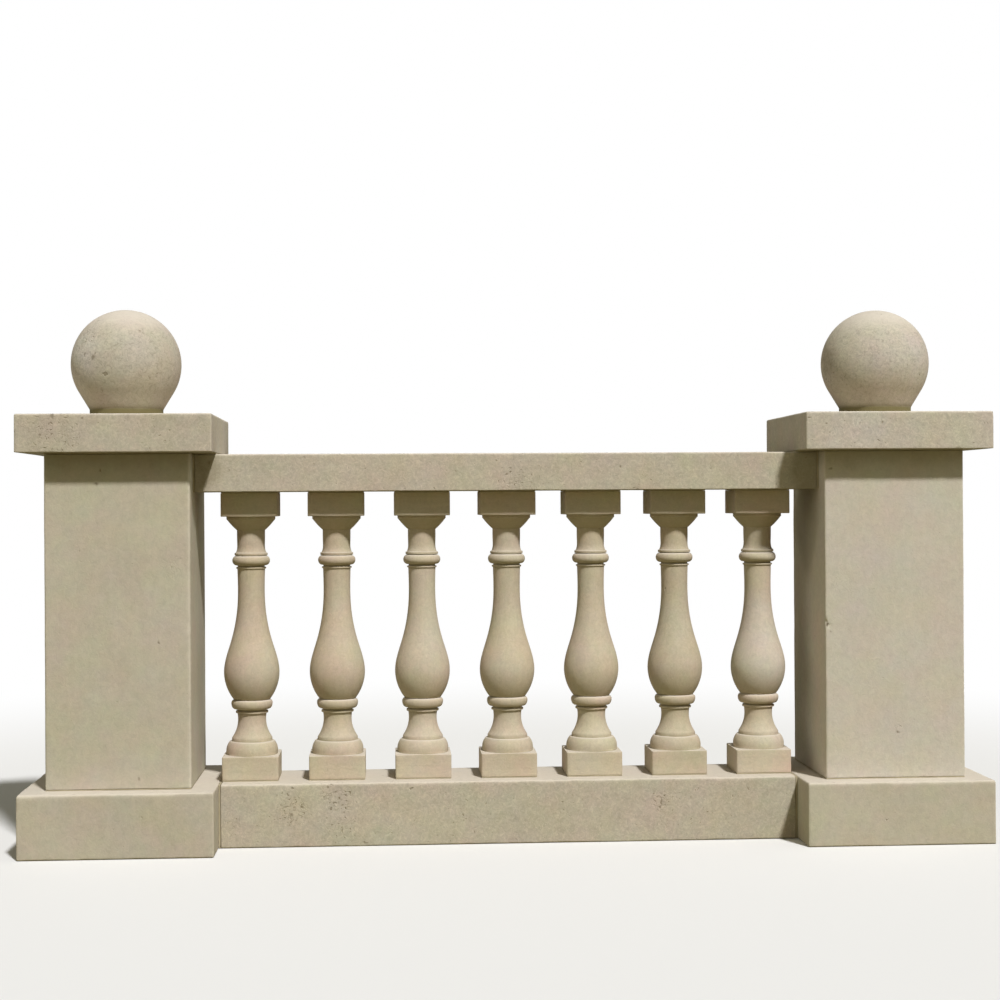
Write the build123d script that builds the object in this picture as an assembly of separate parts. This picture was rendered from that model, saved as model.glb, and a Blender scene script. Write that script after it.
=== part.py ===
from build123d import *
import os

# A stone balustrade, one bay with both its end piers. Lengths are in millimetres.
# X runs along the bay, Y from the front to the back and Z up. The origin is on the
# ground, under the middle of the bay.

# Bay
pier_spacing = 1632          # between the centres of the two piers
baluster_count = 7
end_baluster_gap = 4         # from an end baluster's block to the line of the plinth's side

# Piers, square in plan
plinth_width = 400
shaft_width = 300
cap_width = 400
cap_height = 79.5
ball_diameter = 234
ball_flat_depth = 5          # how much of the ball is cut away where it sits
ball_foot_diameter = 155     # of the short upright foot that carries the ball

# Rails and the height of each course
base_height = 134            # plinths and bottom rail, which are flush on top
baluster_height = 611.5
top_rail_height = 80
bottom_rail_width = 200
top_rail_width = 200

# Mortar, and the softened edges of the dressed stone
bed_thickness = 2            # level joints
end_joint = 4                # upright joints at the ends of the rails
mortar_recess = 1            # the mortar stops this far behind the edge of the stone
arris_radius = 4
small_arris_radius = 3       # on the square block and abacus of a baluster

# Baluster: the square ends
block_width = 120
block_height = 50
abacus_height = 50.5

# Baluster: the turned part, from the block up
foot_inset = 3               # the foot moulding stops this far inside the block
foot_height = 28.5
foot_top_radius = 47.5
foot_bulge = 1.7             # how far the foot moulding stands out from a straight slope
foot_fillet_radius = 43.5
foot_fillet_height = 6.5
scotia_height = 53
scotia_top_radius = 30.5
scotia_hollow = 6.3          # how far the scotia is cut in behind a straight slope
waist_fillet_radius = 32.3
waist_fillet_height = 5
waist_groove_radius = 30.5
waist_groove_height = 3.5
waist_bead_radius = 46
waist_bead_height = 21
belly_foot_radius = 39
belly_radius = 59.7
belly_rise = 56.5            # from the waist bead to the widest point
shoulder_radius = 43.8
shoulder_rise = 68           # from the widest point to the shoulder
stem_foot_radius = 29.3      # halfway from the shoulder to the top of the body
stem_radius = 29.2
body_fillet_radius = 31
body_fillet_height = 4
collar_groove_radius = 29
collar_groove_height = 3
collar_bead_radius = 40.5
collar_bead_height = 21.5
collar_fillet_radius = 35.5
collar_fillet_height = 6
neck_foot_radius = 32.5
neck_radius = 29.2
neck_height = 50
neck_fillet_radius = 31.8
neck_fillet_height = 4
echinus_foot_radius = 33.5
echinus_radius = 52
echinus_height = 24
echinus_bulge = 0.5          # how far the echinus stands out from a straight slope

# Levels that follow from the courses
baluster_foot_level = base_height + bed_thickness
baluster_head_level = baluster_foot_level + baluster_height
top_rail_level = baluster_head_level + bed_thickness
rail_top_level = top_rail_level + top_rail_height
shaft_level = base_height + bed_thickness
cap_level = rail_top_level + bed_thickness
cap_top_level = cap_level + cap_height
ball_level = cap_top_level + bed_thickness

# Places along the bay that follow from the piers
pier_offset = pier_spacing / 2
end_baluster_offset = pier_offset - plinth_width / 2 - end_baluster_gap - block_width / 2
baluster_spacing = 2 * end_baluster_offset / (baluster_count - 1)
bottom_rail_length = pier_spacing - plinth_width - 2 * end_joint
top_rail_length = pier_spacing - shaft_width - 2 * end_joint


def dressed_stone(length, depth, height, radius):
    """A squared stone that stands on Z = 0, with its edges softened."""
    stone = Box(length, depth, height, align=(Align.CENTER, Align.CENTER, Align.MIN))
    return fillet(stone.edges(), radius)


def mortar_slab(length, depth, height):
    """A slab of mortar that stands on Z = 0, for a joint of the given size."""
    return Box(length, depth, height, align=(Align.CENTER, Align.CENTER, Align.MIN))


def bowed_arc(start, end, bow):
    """An arc from start to end that stands off the straight line by bow, outwards if positive."""
    start_point = Vector(*start)
    end_point = Vector(*end)
    chord = end_point - start_point
    outward = Vector(chord.Y, -chord.X).normalized()
    middle = (start_point + end_point) * 0.5 + outward * bow
    return ThreePointArc(start_point, middle, end_point)


def half_round(groove_radius, bead_radius, bottom, height):
    """The outline of a bead: out from the groove, round the edge, and back in again."""
    edge_radius = height / 2
    centre = bead_radius - edge_radius
    arc = ThreePointArc(
        (centre, bottom),
        (bead_radius, bottom + edge_radius),
        (centre, bottom + height),
    )
    return [Line((groove_radius, bottom), (centre, bottom)), arc]


def turned_outline(bottom, top):
    """The outline of the turned part of a baluster, as edges from the foot to the head."""
    foot_radius = block_width / 2 - foot_inset
    foot_top = bottom + foot_height
    scotia_foot = foot_top + foot_fillet_height
    waist_fillet_foot = scotia_foot + scotia_height
    waist_groove_foot = waist_fillet_foot + waist_fillet_height
    waist_bead_foot = waist_groove_foot + waist_groove_height
    belly_foot = waist_bead_foot + waist_bead_height
    belly_middle = belly_foot + belly_rise
    shoulder = belly_middle + shoulder_rise

    echinus_foot = top - echinus_height
    neck_fillet_foot = echinus_foot - neck_fillet_height
    neck_foot = neck_fillet_foot - neck_height
    collar_fillet_foot = neck_foot - collar_fillet_height
    collar_bead_foot = collar_fillet_foot - collar_bead_height
    collar_groove_foot = collar_bead_foot - collar_groove_height
    body_fillet_foot = collar_groove_foot - body_fillet_height
    stem_foot = (shoulder + body_fillet_foot) / 2

    waist_bead_centre = waist_bead_radius - waist_bead_height / 2
    collar_bead_centre = collar_bead_radius - collar_bead_height / 2

    body = Spline(
        (belly_foot_radius, belly_foot),
        (belly_radius, belly_middle),
        (shoulder_radius, shoulder),
        (stem_foot_radius, stem_foot),
        (stem_radius, body_fillet_foot),
        tangents=[(0.62, 0.78), (0.03, 1)],
    )
    neck_middle = (neck_fillet_foot + neck_foot) / 2
    edges = [
        Line((0, bottom), (foot_radius, bottom)),
        bowed_arc((foot_radius, bottom), (foot_top_radius, foot_top), foot_bulge),
        Line((foot_top_radius, foot_top), (foot_fillet_radius, foot_top)),
        Line((foot_fillet_radius, foot_top), (foot_fillet_radius, scotia_foot)),
        bowed_arc((foot_fillet_radius, scotia_foot), (scotia_top_radius, waist_fillet_foot), -scotia_hollow),
        Line((scotia_top_radius, waist_fillet_foot), (waist_fillet_radius, waist_fillet_foot)),
        Line((waist_fillet_radius, waist_fillet_foot), (waist_fillet_radius, waist_groove_foot)),
        Line((waist_fillet_radius, waist_groove_foot), (waist_groove_radius, waist_groove_foot)),
        Line((waist_groove_radius, waist_groove_foot), (waist_groove_radius, waist_bead_foot)),
        *half_round(waist_groove_radius, waist_bead_radius, waist_bead_foot, waist_bead_height),
        Line((waist_bead_centre, belly_foot), (belly_foot_radius, belly_foot)),
        body,
        Line((stem_radius, body_fillet_foot), (body_fillet_radius, body_fillet_foot)),
        Line((body_fillet_radius, body_fillet_foot), (body_fillet_radius, collar_groove_foot)),
        Line((body_fillet_radius, collar_groove_foot), (collar_groove_radius, collar_groove_foot)),
        Line((collar_groove_radius, collar_groove_foot), (collar_groove_radius, collar_bead_foot)),
        *half_round(collar_groove_radius, collar_bead_radius, collar_bead_foot, collar_bead_height),
        Line((collar_bead_centre, collar_fillet_foot), (collar_fillet_radius, collar_fillet_foot)),
        Line((collar_fillet_radius, collar_fillet_foot), (collar_fillet_radius, neck_foot)),
        Line((collar_fillet_radius, neck_foot), (neck_foot_radius, neck_foot)),
        Spline(
            (neck_foot_radius, neck_foot),
            (neck_radius, neck_middle),
            (neck_radius, neck_fillet_foot),
            tangents=[(-0.5, 0.87), (0, 1)],
        ),
        Line((neck_radius, neck_fillet_foot), (neck_fillet_radius, neck_fillet_foot)),
        Line((neck_fillet_radius, neck_fillet_foot), (neck_fillet_radius, echinus_foot)),
        Line((neck_fillet_radius, echinus_foot), (echinus_foot_radius, echinus_foot)),
        bowed_arc((echinus_foot_radius, echinus_foot), (echinus_radius, top), echinus_bulge),
        Line((echinus_radius, top), (0, top)),
        Line((0, top), (0, bottom)),
    ]
    return edges


def make_baluster():
    """One baluster on Z = 0: a square block, the turned part and a square abacus in one stone."""
    block = dressed_stone(block_width, block_width, block_height, small_arris_radius)
    abacus_level = baluster_height - abacus_height
    abacus = dressed_stone(block_width, block_width, abacus_height, small_arris_radius)
    outline = Wire(turned_outline(block_height, abacus_level))
    turned = revolve(Plane.XZ * Face(outline), Axis.Z)
    return block + turned + Pos(0, 0, abacus_level) * abacus


def make_ball():
    """A ball on a short round foot with a flat seat on Z = 0, in one stone."""
    radius = ball_diameter / 2
    centre_height = radius - ball_flat_depth
    foot = Cylinder(
        ball_foot_diameter / 2, centre_height,
        align=(Align.CENTER, Align.CENTER, Align.MIN),
    )
    ball = Pos(0, 0, centre_height) * Sphere(radius)
    upper_space = Box(
        2 * ball_diameter, 2 * ball_diameter, 2 * ball_diameter,
        align=(Align.CENTER, Align.CENTER, Align.MIN),
    )
    return (ball & upper_space) + foot


def make_ball_bed():
    """The round mortar bed under a ball, kept back from the edge of its foot."""
    return Cylinder(
        ball_foot_diameter / 2 - mortar_recess, bed_thickness,
        align=(Align.CENTER, Align.CENTER, Align.MIN),
    )


def make_cap_bed(side):
    """The mortar bed under a cap: over the shaft, and on over the end of the top rail."""
    shaft_part_width = shaft_width - 2 * mortar_recess
    shaft_part = mortar_slab(shaft_part_width, shaft_part_width, bed_thickness)
    reach = cap_width / 2 - mortar_recess
    rail_part = Pos(-side * reach / 2, 0, 0) * mortar_slab(
        reach, top_rail_width - 2 * mortar_recess, bed_thickness
    )
    return shaft_part + rail_part


def make_end_joint(rail_width, rail_height):
    """The upright mortar joint at the end of a rail, standing on the rail's own level."""
    slab = mortar_slab(end_joint, rail_width - 2 * mortar_recess, rail_height - 2 * mortar_recess)
    return Pos(0, 0, mortar_recess) * slab


def save(name, shape):
    export_step(shape, f"parts/{name}.step")


os.makedirs("parts", exist_ok=True)

plinth = dressed_stone(plinth_width, plinth_width, base_height, arris_radius)
shaft = dressed_stone(shaft_width, shaft_width, rail_top_level - shaft_level, arris_radius)
cap = dressed_stone(cap_width, cap_width, cap_height, arris_radius)
ball = make_ball()
ball_bed = make_ball_bed()
shaft_bed_width = shaft_width - 2 * mortar_recess
shaft_bed = mortar_slab(shaft_bed_width, shaft_bed_width, bed_thickness)

for side_name, side in (("left", -1), ("right", 1)):
    pier_x = side * pier_offset
    save(f"{side_name}_plinth", Pos(pier_x, 0, 0) * plinth)
    save(f"{side_name}_shaft_bed", Pos(pier_x, 0, base_height) * shaft_bed)
    save(f"{side_name}_shaft", Pos(pier_x, 0, shaft_level) * shaft)
    save(f"{side_name}_cap_bed", Pos(pier_x, 0, rail_top_level) * make_cap_bed(side))
    save(f"{side_name}_cap", Pos(pier_x, 0, cap_level) * cap)
    save(f"{side_name}_ball_bed", Pos(pier_x, 0, cap_top_level) * ball_bed)
    save(f"{side_name}_ball", Pos(pier_x, 0, ball_level) * ball)

    bottom_joint_x = side * (bottom_rail_length + end_joint) / 2
    top_joint_x = side * (top_rail_length + end_joint) / 2
    bottom_joint = make_end_joint(bottom_rail_width, base_height)
    top_joint = make_end_joint(top_rail_width, top_rail_height)
    save(f"{side_name}_bottom_rail_joint", Pos(bottom_joint_x, 0, 0) * bottom_joint)
    save(f"{side_name}_top_rail_joint", Pos(top_joint_x, 0, top_rail_level) * top_joint)

save("bottom_rail", dressed_stone(bottom_rail_length, bottom_rail_width, base_height, arris_radius))
top_rail = dressed_stone(top_rail_length, top_rail_width, top_rail_height, arris_radius)
save("top_rail", Pos(0, 0, top_rail_level) * top_rail)

baluster = make_baluster()
bed_width = block_width - 2 * mortar_recess
baluster_bed = mortar_slab(bed_width, bed_width, bed_thickness)
foot_beds = []
head_beds = []
for index in range(baluster_count):
    x = -end_baluster_offset + index * baluster_spacing
    save(f"baluster_{index + 1}", Pos(x, 0, baluster_foot_level) * baluster)
    foot_beds.append(Pos(x, 0, base_height) * baluster_bed)
    head_beds.append(Pos(x, 0, baluster_head_level) * baluster_bed)
save("baluster_foot_beds", Compound(children=foot_beds))
save("baluster_head_beds", Compound(children=head_beds))
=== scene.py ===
import itertools
import math

import bpy
import numpy as np
from mathutils import Matrix, Vector


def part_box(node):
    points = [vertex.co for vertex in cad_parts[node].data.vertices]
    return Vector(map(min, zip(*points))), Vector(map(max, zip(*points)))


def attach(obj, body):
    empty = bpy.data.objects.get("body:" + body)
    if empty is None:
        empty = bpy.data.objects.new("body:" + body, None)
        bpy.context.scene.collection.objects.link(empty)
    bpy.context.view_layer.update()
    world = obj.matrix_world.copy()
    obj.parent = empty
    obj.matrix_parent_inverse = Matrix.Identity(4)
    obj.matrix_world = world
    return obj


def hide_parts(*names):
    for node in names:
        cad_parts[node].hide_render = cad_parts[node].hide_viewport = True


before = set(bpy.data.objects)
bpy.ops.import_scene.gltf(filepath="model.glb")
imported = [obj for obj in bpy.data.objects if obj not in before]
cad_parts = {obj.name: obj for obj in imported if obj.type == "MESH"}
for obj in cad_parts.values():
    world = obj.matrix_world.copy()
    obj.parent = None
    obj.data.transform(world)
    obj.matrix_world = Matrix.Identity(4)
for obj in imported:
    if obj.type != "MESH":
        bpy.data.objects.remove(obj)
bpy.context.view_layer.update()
mm = 0.001
print("frame loaded:", len(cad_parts), "stones and mortar beds")


# Lumpy fields, which wear the stones and spread their marks. The number that a use of them adds to its
# stone's seed only keeps one field from repeating another.

latticeSide = 64        # random heights along each side of the lattice before it repeats
lumpSize = {            # metres
    "wear": 0.045,      # along a worn edge
    "hollow": 0.13,     # the broad hollows of the dressing
    "broken": 0.012,    # the broken surface where the stone is pitted
    "scatter": 0.09,    # the places where it is pitted
    "breaks": 0.03,     # gaps in the darkening near a bed, and the ragged edge of the painted shade under a cap
    "creases": 0.02,    # unevenness of the grime and painted shade in a crease
}


def lumps(points, size, seed):
    # random heights, -1 to 1, on a cubic lattice of that spacing, joined along each axis by
    # 6t^5 - 15t^4 + 10t^3
    heights = np.random.default_rng(seed).uniform(-1, 1, (latticeSide,) * 3)
    place = points / size
    cell = np.floor(place).astype(int)
    t = place - cell
    blend = t ** 3 * (t * (6 * t - 15) + 10)
    total = np.zeros(len(points))
    for corner in itertools.product((0, 1), repeat=3):
        near = (cell + corner) % latticeSide
        weight = np.prod(np.where(corner, blend, 1 - blend), axis=1)
        total += weight * heights[near[:, 0], near[:, 1], near[:, 2]]
    return total


def layeredLumps(points, size, seed, layers):
    # lumps of that size, then of half the size and half the height, and so on; about -1 to 1
    total = sum(lumps(points, size / 2 ** layer, seed + layer) / 2 ** layer for layer in range(layers))
    return total / (2 - 2 ** (1 - layers))


def softStep(value, low, high):
    # 0 below low, 1 above high, and 3t^2 - 2t^3 in between
    t = np.clip((value - low) / (high - low), 0, 1)
    return t * t * (3 - 2 * t)


biteSwing = 0.12        # how far a scoop's radius comes and goes, as a share of it
biteLump = 0.3          # size of those lumps, in the scoop's radius


def bite(points, centre, radius, seed):
    # points nearer to the centre than a lumpy radius are pushed straight away from it, out to that radius, as
    # a knock leaves a scoop
    away = points - centre
    reach = np.linalg.norm(away, axis=1)
    near = reach < (1 + biteSwing) * radius
    lumpy = radius * (1 + biteSwing * lumps(points[near], radius * biteLump, seed))
    push = np.zeros(len(points))
    push[near] = np.clip(lumpy - reach[near], 0, None)
    return points + away / reach[:, None] * push[:, None], push


# Meshes

def makePiece(name, nodes, points, quads, fans, marks, material):
    # points with four-cornered and three-cornered faces become one smooth mesh, with a number for each mark
    # at each point, that stands for its CAD nodes
    corners = np.concatenate([quads.ravel(), fans.ravel()]).astype(np.int32)
    starts = np.concatenate([
        np.arange(len(quads)) * 4,
        quads.size + np.arange(len(fans)) * 3,
    ]).astype(np.int32)
    mesh = bpy.data.meshes.new(name)
    mesh.vertices.add(len(points))
    mesh.vertices.foreach_set("co", points.astype(np.float32).ravel())
    mesh.loops.add(len(corners))
    mesh.loops.foreach_set("vertex_index", corners)
    mesh.polygons.add(len(starts))
    mesh.polygons.foreach_set("loop_start", starts)
    mesh.update(calc_edges=True)
    mesh.shade_smooth()
    for mark, values in marks.items():
        attribute = mesh.attributes.new(mark, "FLOAT", "POINT")
        attribute.data.foreach_set("value", values.astype(np.float32))
    mesh.materials.append(material)
    piece = bpy.data.objects.new(name, mesh)
    bpy.context.scene.collection.objects.link(piece)
    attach(piece, "root")
    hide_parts(*nodes)


def blockShell(counts):
    # the outer faces of a lattice of that many points each way, and which lattice points they use
    numbers = np.arange(np.prod(counts)).reshape(counts)
    quads = []
    for axis in range(3):
        layers = np.transpose(numbers, (axis, (axis + 1) % 3, (axis + 2) % 3))
        for sheet, turned in ((layers[-1], False), (layers[0], True)):
            ring = [sheet[:-1, :-1], sheet[1:, :-1], sheet[1:, 1:], sheet[:-1, 1:]]
            cells = np.stack(ring, axis=-1).reshape(-1, 4)
            quads.append(cells[:, ::-1] if turned else cells)
    used, quads = np.unique(np.concatenate(quads), return_inverse=True)
    return used, quads.reshape(-1, 4)


edgeRows = np.array([0, 0.35, 0.75, 1.15, 1.8])      # rows of points over an edge, in its radii


def spread(low, high, easeLow, easeHigh, step):
    # places along one axis: close together over both eased edges, and even in between
    start = low + edgeRows * easeLow
    stop = high - edgeRows[::-1] * easeHigh
    steps = round((stop[0] - start[-1]) / step)
    return np.concatenate([start[:-1], np.linspace(start[-1], stop[0], steps + 1), stop[1:]])


def dressedBlock(low, high, stone):
    # a box with worn edges: a point is the nearest place on a box that is smaller by the edge radii, plus
    # those radii times its direction outwards; edge is 0 on a face and rises to 1 round an edge
    ease = np.array(stone["ease"]) * mm
    seed = stone["seed"]
    axes = [spread(low[i], high[i], *ease[i], stone["step"][i] * mm) for i in range(3)]
    counts = [len(axis) for axis in axes]
    used, quads = blockShell(counts)
    flat = np.stack([axis[row] for axis, row in zip(axes, np.unravel_index(used, counts))], axis=1)
    wearing = 1 + stone["unevenWear"] * layeredLumps(flat, lumpSize["wear"], seed, 3)
    radii = np.where(flat < (low + high) / 2, ease[:, 0], ease[:, 1]) * wearing[:, None]
    inner = np.clip(flat, low + radii, high - radii)
    lean = (flat - inner) / radii
    outward = lean / np.linalg.norm(lean, axis=1, keepdims=True)
    points = inner + radii * outward
    normal = outward / radii
    normal /= np.linalg.norm(normal, axis=1, keepdims=True)
    edge = np.sort(np.abs(lean), axis=1)[:, 1]
    return points, quads, normal, edge


def roughen(points, normal, stone, pitted):
    # sinks points along their normals: broad hollows from dressing, and a finer broken surface where it is
    # pitted, each from nothing to its full depth
    seed = stone["seed"]
    hollow = 0.5 + 0.5 * layeredLumps(points, lumpSize["hollow"], seed + 11, 2)
    broken = 0.5 + 0.5 * layeredLumps(points, lumpSize["broken"], seed + 17, 2)
    sunk = stone["hollow"] * mm * hollow + stone["broken"] * mm * pitted * broken
    return points - normal * sunk[:, None]


chipEnds = 0.02         # share of an edge's length that stays free of chips at each end


def knockEdges(points, low, high, stone):
    # seeded scoops out of the box's edges, deeper where an edge is more worn; each centre stands off its edge
    # by the scoop's radius less its bite; knocked is the farthest that a scoop pushed each point
    random = np.random.default_rng(stone["seed"] + 23)
    knocked = np.zeros(len(points))
    for chip in range(stone["chips"]):
        along = random.choice(3, p=(high - low) / (high - low).sum())
        side = random.choice([-1.0, 1.0], 3)
        side[along] = 0
        centre = np.where(side < 0, low, high)
        centre[along] = low[along] + random.uniform(chipEnds, 1 - chipEnds) * (high - low)[along]
        eased = min(stone["ease"][axis][int(side[axis] > 0)] for axis in range(3) if axis != along)
        radius = random.uniform(*stone["chipRadius"]) * mm
        depth = random.uniform(*stone["chipBite"]) * eased * mm
        centre += side / math.sqrt(2) * (radius - depth)
        points, push = bite(points, centre, radius, stone["seed"] + 31 + chip)
        knocked = np.maximum(knocked, push)
    return points, knocked


def placedKnocks(points, stone):
    # scoops that are told one by one, as (x, y, z, radius) in metres
    knocked = np.zeros(len(points))
    for number, (x, y, z, radius) in enumerate(stone.get("knocks", ())):
        points, push = bite(points, np.array([x, y, z]), radius, stone["seed"] + 61 + number)
        knocked = np.maximum(knocked, push)
    return points, knocked


patchRagged = 0.35      # how far a patch's rim comes and goes, as a share
patchCore = 0.35        # share of a patch's radius within which it is full
patchSeed = 7


def patches(points, spots):
    # the strongest of some soft round patches with ragged rims, told one by one as (x, y, z, radius,
    # strength), with the first four in metres
    total = np.zeros(len(points))
    for x, y, z, radius, strength in spots:
        reach = np.linalg.norm(points - np.array([x, y, z]), axis=1)
        ragged = reach * (1 + patchRagged * layeredLumps(points, radius / 2, patchSeed, 2))
        total = np.maximum(total, strength * (1 - softStep(ragged, patchCore * radius, radius)))
    return total


capShadeFades = (0.015, 0.085)     # metres under a cap where the painted shade it casts starts to fade, and ends
capShadeRagged = 0.02              # and how much nearer to the cap that is in places
scatterLevels = (0.1, 0.75)       # where on its lumps the scattered pitting begins, and is full


def stoneMarks(points, stone, edge, knocked):
    # what the limestone recipe reads at each point: the stone's number, its tone, and then from 0 to 1 its
    # worn edges, darkening (near its beds, painted shade under a cap that sits on it, and grime and painted
    # shade in patches), pits, stains, level lines and chalk
    low, high = points.min(axis=0), points.max(axis=0)
    seed = stone["seed"]
    above = high[2] - points[:, 2] + stone["openTop"]
    below = points[:, 2] - low[2]
    # darker towards the stone's top and bottom beds; on a ball's foot this is painted shade
    fromBed = np.clip(np.minimum(above, below) / mm - stone["bedDarkFull"], 0, None)
    bedding = np.exp(-fromBed / stone["bedDarkRise"])
    breaks = 0.5 - 0.5 * layeredLumps(points, lumpSize["breaks"], seed + 41, 2)
    grimeAndShade = bedding * (1 - stone["bedDarkBreaks"] * breaks) * stone["bedDarkening"]
    # painted shade under the cap that sits on the stone, fading downwards from its top
    under = stone.get("capShade", 0) * (1 - softStep(above + capShadeRagged * breaks, *capShadeFades))
    grimeAndShade = np.maximum(grimeAndShade, under)
    scattered = softStep(layeredLumps(points, lumpSize["scatter"], seed + 43, 3), *scatterLevels)
    pitted = np.maximum(patches(points, stone.get("pitted", ())), stone["pitting"] * scattered)
    return {
        "stoneNumber": np.full(len(points), float(seed)),
        "stoneTone": np.full(len(points), stone["tone"]),
        "wornEdge": np.clip(edge + knocked / mm, 0, 1),
        # grime and painted shade together, with the told patches
        "grimeAndShade": np.maximum(grimeAndShade, patches(points, stone.get("grimeAndShadePatches", ()))),
        "pitted": np.clip(pitted, 0, 1),
        "stain": patches(points, stone.get("stains", ())),
        "layered": np.full(len(points), stone["layers"]),
        "chalk": np.maximum(stone["chalk"], patches(points, stone.get("chalked", ()))),
    }


def weathered(points, normal, edge, low, high, stone):
    # the points roughened and then knocked, but kept inside the box, and the marks that they then carry
    marks = stoneMarks(points, stone, edge, np.zeros(len(points)))
    points = roughen(points, normal, stone, marks["pitted"])
    points, knocked = knockEdges(points, low, high, stone)
    points, placed = placedKnocks(points, stone)
    points = np.clip(points, low, high)
    return points, stoneMarks(points, stone, edge, np.maximum(knocked, placed))


# Shader maths

class Wire:
    # one output socket, which adds Math nodes when it is reckoned with

    def __init__(self, bench, socket):
        self.bench = bench
        self.socket = socket

    def reckon(self, operation, first, second):
        # a Math node of that operation on both
        return self.bench.add("Math", {"operation": operation}, {"Value": first, "Value_001": second})

    def __add__(self, other):
        return self.reckon("ADD", self, other)

    def __radd__(self, other):
        return self.reckon("ADD", other, self)

    def __sub__(self, other):
        return self.reckon("SUBTRACT", self, other)

    def __rsub__(self, other):
        return self.reckon("SUBTRACT", other, self)

    def __mul__(self, other):
        return self.reckon("MULTIPLY", self, other)

    def __rmul__(self, other):
        return self.reckon("MULTIPLY", other, self)

    def __abs__(self):
        return self.reckon("ABSOLUTE", self, 0.0)


class Bench:
    # the node tree of a material or of the world, cleared

    def __init__(self, owner):
        owner.use_nodes = True
        self.tree = owner.node_tree
        self.tree.nodes.clear()

    def add(self, kind, settings=None, values=None, output=0):
        # a node of that kind: its settings first, then each socket's number, colour or wire, by identifier
        node = self.tree.nodes.new("ShaderNode" + kind)
        for setting, value in (settings or {}).items():
            setattr(node, setting, value)
        sockets = {socket.identifier: socket for socket in node.inputs}
        for name, value in (values or {}).items():
            if isinstance(value, Wire):
                self.tree.links.new(value.socket, sockets[name])
            else:
                sockets[name].default_value = value
        if not node.outputs:
            return node
        return Wire(self, node.outputs[output])


def tint(red, green, blue):
    # a screen colour from 0 to 255, as the linear colour that a shader wants, by the usual curve of screens
    screen = np.array([red, green, blue]) / 255
    linear = np.where(screen <= 0.04045, screen / 12.92, ((screen + 0.055) / 1.055) ** 2.4)
    return (*(float(part) for part in linear), 1.0)


def ramped(bench, value, low, high, top=1.0):
    # 0 below low, top above high, smooth in between
    limits = {"Value": value, "From Min": low, "From Max": high, "To Min": 0.0, "To Max": top}
    return bench.add("MapRange", {"interpolation_type": "SMOOTHSTEP"}, limits)


def blended(bench, factor, under, over):
    # the under colour where the factor is 0, the over colour where it is 1, and a straight mix in between
    colours = {"Factor_Float": factor, "A_Color": under, "B_Color": over}
    return bench.add("Mix", {"data_type": "RGBA"}, colours, "Result")


def noise(bench, place, scale, detail=2.0, roughness=0.5):
    # smooth noise from 0 to 1 with about that many lumps a metre, and finer ones of lesser height on top
    values = {"Vector": place, "Scale": scale, "Detail": detail, "Roughness": roughness}
    return bench.add("TexNoise", None, values, "Fac")


def readMark(bench, name):
    # one of the marks that the points of a mesh carry, graded evenly in between
    return bench.add("Attribute", {"attribute_name": name}, None, "Fac")


patternScale = {            # lumps to a metre
    "clouds": 5.5,
    "hues": 11.0,
    "blush": 13.0,
    "widePits": 47.0,
    "mottle": 62.0,
    "shells": 78.0,
    "sway": 80.0,           # which bends the other patterns
    "trails": 105.0,
    "speckle": 170.0,
    "finePits": 175.0,
}
swayReach = 0.014           # metres that the sway bends them
numberShift = (0.731, 0.377, 0.519)     # metres along x, y and z that they move, times the stone's number
levels = {                  # where on its noise, mark or slope each part of the recipe begins, and is full
    "clouds": (0.3, 0.7),
    "blush": (0.45, 0.7),
    "mark": (0.1, 0.9),
    "worn": (0.35, 0.9),
    "facingUp": (0.45, 0.9),
    "facingDown": (-0.1, 0.85),
}


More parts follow.
